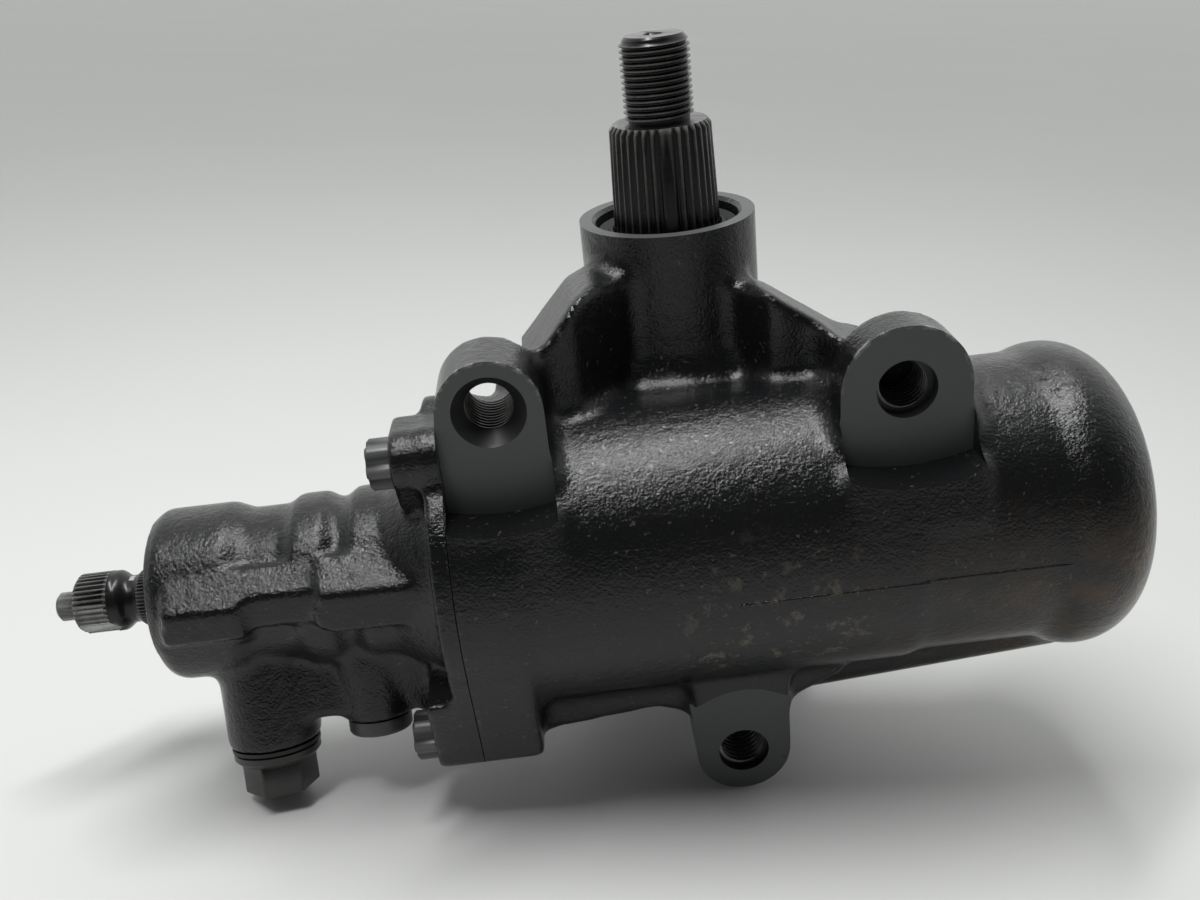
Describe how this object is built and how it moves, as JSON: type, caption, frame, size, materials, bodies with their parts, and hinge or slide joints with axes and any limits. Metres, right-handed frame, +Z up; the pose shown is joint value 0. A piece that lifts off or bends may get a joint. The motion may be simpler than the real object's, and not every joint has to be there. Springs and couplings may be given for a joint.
{
  "type": "steering gearbox",
  "caption": "Power-assisted recirculating-ball steering gear: a worm and rack piston in a cast housing turn a sector shaft that carries the pitman arm.",
  "frame": {"origin": "middle of the bounding box at the lowest point of the gear as it stands with the sector shaft up", "axes": "+X along the worm axis from the input end to the closed end, +Z up along the sector shaft, -Y out of the mounting pads"},
  "size_m": [0.338, 0.1408, 0.236],
  "materials": {
    "black_casting": "satin black paint over a sand-cast skin",
    "black_fastener": "black painted steel with worn corners",
    "oiled_steel": "dark oiled steel",
    "machined_steel": "ground",
    "seal_rubber": "moulded",
    "filled_ptfe": "machined"
  },
  "bodies": {
    "housing": {"gear_housing": "black_casting", "valve_housing": "black_casting", "valve_housing_bolts": "black_fastener", "valve_housing_seal": "seal_rubber", "side_cover": "black_casting", "side_cover_bolts": "black_fastener", "side_cover_seal": "seal_rubber", "adjuster_screw": "machined_steel", "adjuster_locknut": "black_fastener", "sector_upper_bearing": "machined_steel", "sector_lower_bearing": "machined_steel", "sector_seal_washer": "machined_steel", "sector_oil_seal": "seal_rubber", "sector_snap_ring": "machined_steel", "sector_dust_seal": "seal_rubber", "input_bearing": "machined_steel", "input_oil_seal": "seal_rubber", "input_snap_ring": "machined_steel", "worm_bearing_outer_race": "machined_steel", "worm_bearing_lock_ring": "machined_steel", "pressure_plug": "black_fastener", "pressure_plug_washer": "black_fastener", "return_plug": "black_fastener"},
    "sector": {"sector_shaft": "oiled_steel"},
    "piston": {"rack_piston": "machined_steel", "piston_ring": "filled_ptfe", "recirculating_balls": "machined_steel", "ball_guides": "machined_steel", "guide_clip": "machined_steel", "guide_screws": "machined_steel"},
    "worm": {"worm_shaft": "machined_steel", "worm_bearing_inner_race": "machined_steel", "worm_bearing_balls": "machined_steel", "valve_sleeve": "machined_steel", "sleeve_rings": "filled_ptfe", "sleeve_pin": "machined_steel"},
    "input": {"input_shaft": "oiled_steel", "torsion_bar": "oiled_steel", "torsion_bar_pin": "machined_steel"}
  },
  "joints": [
    {"name": "sector_turn", "type": "hinge", "parent": "housing", "child": "sector", "pos_m": [0.038, 0.0254, 0.088], "axis": [0, 0, 1], "range_deg": [-40, 40]},
    {"name": "piston_slide", "type": "slide", "parent": "housing", "child": "piston", "axis": [1, 0, 0], "range_m": [-0.0176, 0.0176]},
    {"name": "worm_turn", "type": "hinge", "parent": "housing", "child": "worm", "pos_m": [0.038, -0.0216, 0.088], "axis": [1, 0, 0], "range_deg": [-575, 575]},
    {"name": "input_twist", "type": "hinge", "parent": "worm", "child": "input", "pos_m": [0.038, -0.0216, 0.088], "axis": [1, 0, 0], "range_deg": [-4.5, 4.5], "stiffness_Nm_per_rad": 90}
  ],
  "couplings": [
    {"joint": "piston_slide", "follows": "sector_turn", "m_per_rad": 0.025},
    {"joint": "worm_turn", "follows": "sector_turn", "ratio": -14.28}
  ]
}
